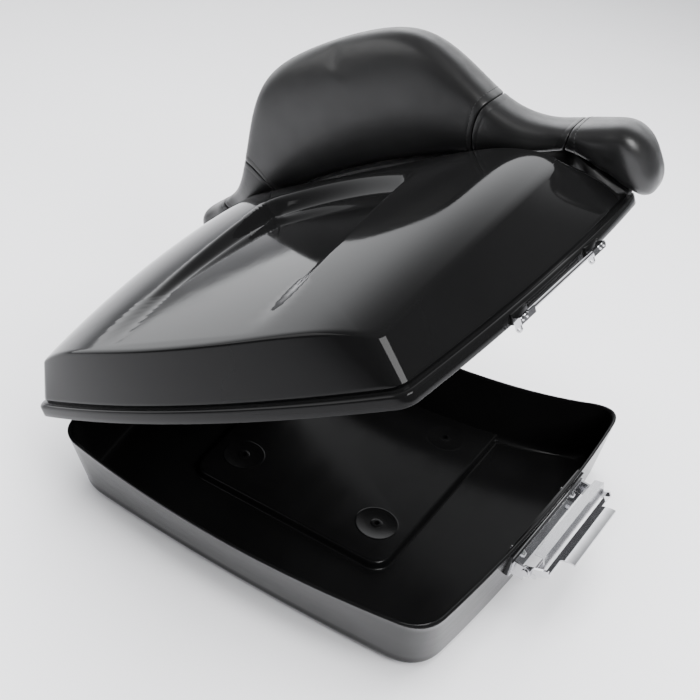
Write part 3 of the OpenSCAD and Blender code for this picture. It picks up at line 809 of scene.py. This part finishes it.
def back_pad():
    """The five cushion covers and the stitches at their seams."""
    centre = cushion("cover_centre", -CENTRE_END, CENTRE_END, 62, 3.0)
    for side, s in (("left", -1), ("right", 1)):
        lo, hi = sorted(s * x for x in NECK_ENDS)
        cushion("cover_neck_" + side, lo, hi, 15, 3.0)
        lo, hi = sorted(s * x for x in ARM_ENDS)
        arm = cushion("cover_arm_" + side, lo, hi, 40, 4.0)
        stitch_line("stitches_centre_" + side, centre, s * STITCH_X[0])
        stitch_line("stitches_arm_" + side, arm, s * STITCH_X[1])


def pad_underside():
    """The covered board under the cushions, longer and deeper near the necks."""
    rng = np.random.default_rng(7)
    phases, sizes = rng.uniform(0, 6.28, 6), rng.uniform(0.4, 1.0, 6)
    rings = []
    for x in np.arange(-312.0, 312.1, 3.0):
        a = abs(x)
        y = pad_y(a) + pad_skew(a) * 24.0
        h = pad_half(a) - 4.4
        z1 = pad_bottom(a) - 0.3
        bulge = smooth((a - 232.0) / 26.0) * (1 - smooth((a - 292.0) / 20.0))
        end = smooth((a - 284.0) / 28.0)
        z0 = z1 - 12.4 - 13.0 * bulge + 7.0 * end
        gather = sum(s * math.sin(x / w + p) for s, p, w in
                     zip(sizes, phases, (5.2, 7.1, 9.7, 13.3, 4.1, 21.0))) * 0.55
        rear = 16.0 * smooth((a - 90.0) / 80.0) * (1 - smooth((a - 250.0) / 30.0))
        rear = -h + rear + 12.0 * end
        ring = [(rear, z1), (rear - 0.6 + gather * 0.3, z1 - 2.4),
                (rear - 0.6 + gather * 0.6, z0 + 3.6),
                (rear + 1.2 + gather, z0 + 1.6), (rear + 5.0, z0 + gather * 0.6),
                (rear + 14.0, z0 + gather * 0.6), (rear + 20.0, z0 + 0.2),
                (h - 20.0, z0 + 0.2), (h - 14.0, z0 - gather * 0.6),
                (h - 5.0, z0 - gather * 0.6), (h - 1.2 - gather, z0 + 1.6),
                (h + 0.6 - gather * 0.6, z0 + 3.6),
                (h + 0.6, z1 - 2.4), (h, z1)]
        rings.append(np.array([(x, y + dy, z) for dy, z in ring]))
    pts, faces = skin(rings, rings[0].mean(axis=0), rings[-1].mean(axis=0))
    obj = shade(make("pad_wrap", open_lid(pts), faces, recalc=True), 60.0)
    finish_piece(obj, "lid_body", "board", "board", "pad_board")


# ------------------------------------------------------------ CAD hardware
def dress_hardware():
    """Materials and eased edges for the CAD nodes that stay."""
    looks = {"chrome": ["latch_base", "latch_stub_pins", "latch_handle",
                        "latch_link_rod", "keeper_blocks", "keeper_bar",
                        "keeper_rivets", "hinge_leaf_tub", "hinge_leaf_lid"],
             "brushed": ["latch_draw_plate"],
             "steel": ["latch_screws", "latch_nuts", "hinge_pins", "hinge_screws",
                       "hinge_nuts", "hinge_rivets", "pad_staples", "bracket_bolts",
                       "bracket_nuts", "board_screws"],
             "black_steel": ["pad_brackets"], "seal_rubber": ["lid_seal"]}
    for look, names in looks.items():
        for name in names:
            obj = NODES[name]
            obj.data.materials.clear()
            obj.data.materials.append(MATS[look])
            if look in ("chrome", "brushed", "black_steel"):
                mod = obj.modifiers.new("ease", "BEVEL")
                mod.width, mod.segments = 0.00035, 2
                mod.limit_method, mod.angle_limit = "ANGLE", math.radians(40)
                mod.harden_normals = True


# ------------------------------------------------------------ stage
def area_light(name, place, target, size, power):
    data = bpy.data.lights.new(name, "AREA")
    data.shape, data.size, data.size_y = "RECTANGLE", size[0], size[1]
    data.energy = power
    obj = bpy.data.objects.new(name, data)
    bpy.context.scene.collection.objects.link(obj)
    obj.location = place
    aim = Vector(target) - Vector(place)
    obj.rotation_euler = aim.to_track_quat("-Z", "Y").to_euler()
    return obj


def studio_light(tree):
    """A dim room with one broad bright wall low on the front left."""
    def node(kind, **sockets):
        made = tree.nodes.new(kind)
        for i, value in sockets.items():
            made.inputs[int(i[1:])].default_value = value
        return made

    def link(a, b, index):
        tree.links.new(a.outputs[0], b.inputs[index])

    where = tree.nodes.new("ShaderNodeTexCoord").outputs["Generated"]
    facing = node("ShaderNodeVectorMath", i1=(-0.7, 0.7, 0.15))
    facing.operation = "DOT_PRODUCT"
    tree.links.new(where, facing.inputs[0])
    lobe = node("ShaderNodeMapRange", i1=0.3, i2=0.8, i3=0.0, i4=1.0)
    lobe.interpolation_type = "SMOOTHSTEP"
    tree.links.new(facing.outputs["Value"], lobe.inputs[0])
    split = tree.nodes.new("ShaderNodeSeparateXYZ")
    tree.links.new(where, split.inputs[0])
    low = node("ShaderNodeMapRange", i1=0.3, i2=0.85, i3=WALL_LIGHT, i4=0.0)
    low.interpolation_type = "SMOOTHSTEP"
    tree.links.new(split.outputs["Z"], low.inputs[0])
    glow = node("ShaderNodeMath")
    glow.operation = "MULTIPLY"
    link(lobe, glow, 0)
    link(low, glow, 1)
    total = node("ShaderNodeMath", i1=ROOM_LIGHT)
    total.operation = "ADD"
    link(glow, total, 0)
    back = tree.nodes["Background"]
    back.inputs["Color"].default_value = (0.97, 0.98, 1.0, 1.0)
    tree.links.new(total.outputs[0], back.inputs["Strength"])


def stage():
    pts = [(x * FLOOR_HALF, y * FLOOR_HALF, -1.0)
           for x, y in ((-1, -1), (1, -1), (1, 1), (-1, 1))]
    floor = make("floor", pts, [(0, 1, 2, 3)])
    floor.data.materials.append(MATS["floor"])
    world = bpy.data.worlds.new("studio")
    bpy.context.scene.world = world
    world.use_nodes = True
    studio_light(world.node_tree)
    aim = (0.0, 0.0, 0.2)
    area_light("key", (-1.9, -1.5, 1.7), aim, (1.8, 1.4), 26.0)
    area_light("rim", (2.1, -0.7, 2.0), aim, (1.4, 1.4), 95.0)
    top = area_light("top", (0.0, 0.4, 3.0), aim, (3.0, 3.0), 270.0)
    top.visible_glossy = False


def camera():
    data = bpy.data.cameras.new("camera")
    data.sensor_width, data.lens = 36.0, 46.286
    data.clip_start, data.clip_end = 0.05, 50.0
    obj = bpy.data.objects.new("camera", data)
    bpy.context.scene.collection.objects.link(obj)
    right = (0.85886354, 0.49437815, 0.13395395)
    up = (-0.38419597, 0.44884085, 0.80680565)
    back = (0.33874308, -0.74440053, 0.57543113)
    place = (0.36984, -0.85787, 0.83075)
    obj.matrix_world = Matrix(((right[0], up[0], back[0], place[0]),
                               (right[1], up[1], back[1], place[1]),
                               (right[2], up[2], back[2], place[2]), (0, 0, 0, 1)))
    bpy.context.scene.camera = obj


tub_shell()
lid_shell()
back_pad()
pad_underside()
dress_hardware()
stage()
camera()
